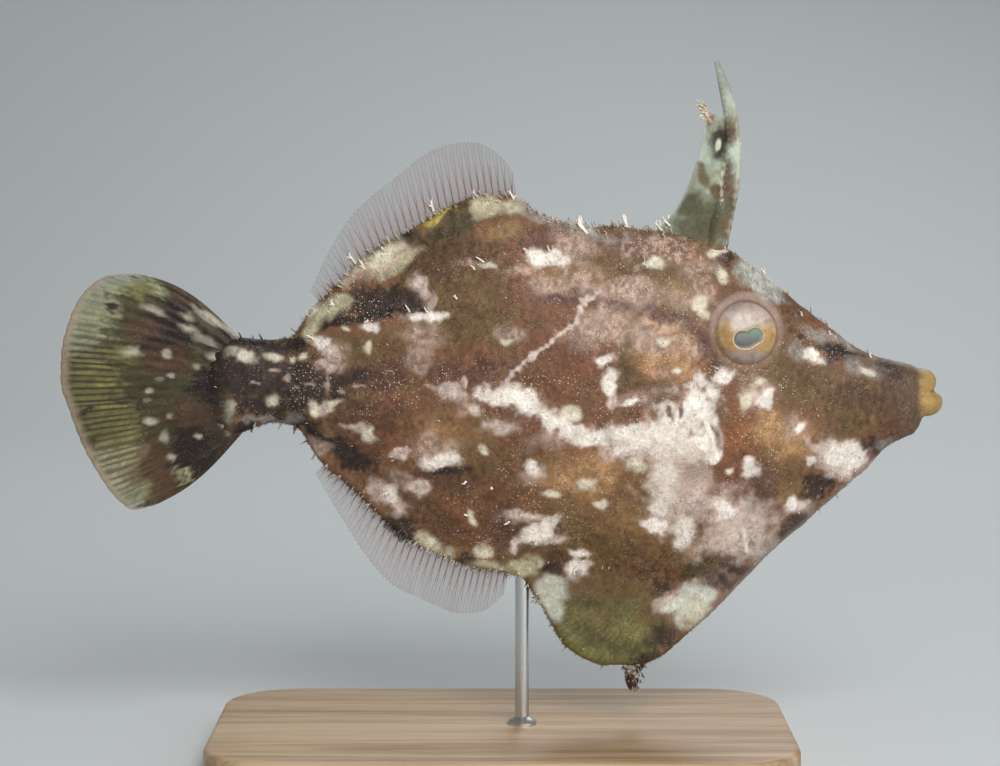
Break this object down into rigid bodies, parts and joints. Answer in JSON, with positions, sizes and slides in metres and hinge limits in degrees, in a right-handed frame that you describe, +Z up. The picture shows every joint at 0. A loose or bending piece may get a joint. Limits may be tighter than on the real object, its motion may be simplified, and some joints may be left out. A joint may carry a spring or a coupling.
{
  "type": "fringed filefish model",
  "caption": "Still, life-size model of a fringed filefish, deep-bodied with a raised dorsal spine, held over a flat base by one slim rod.",
  "frame": {"origin": "centre of the display base's underside, which rests on the surface", "axes": "+X towards the fish's snout, +Y towards its left flank, +Z up"},
  "size_m": [0.1002, 0.042, 0.0797],
  "materials": {
    "skin": "rough mottled fish skin with a slight wet sheen",
    "fin": "thin fin membrane with raised rays",
    "spine": "satin bony spine with beaded edges",
    "eye": "glossy cornea over a golden iris",
    "stand_wood": "satin pale wood",
    "stand_steel": "satin steel"
  },
  "bodies": {
    "root": {"head": "skin", "trunk": "skin", "tail_stalk": "skin", "dewlap": "skin", "pelvic_tuft": "skin", "dorsal_spine": "spine", "spine_membrane": "fin", "dorsal_fin": "fin", "anal_fin": "fin", "caudal_fin": "fin", "pectoral_fin_right": "fin", "pectoral_fin_left": "fin", "eye_right": "eye", "eye_left": "eye", "stand_base": "stand_wood", "stand_rod": "stand_steel"}
  },
  "joints": []
}
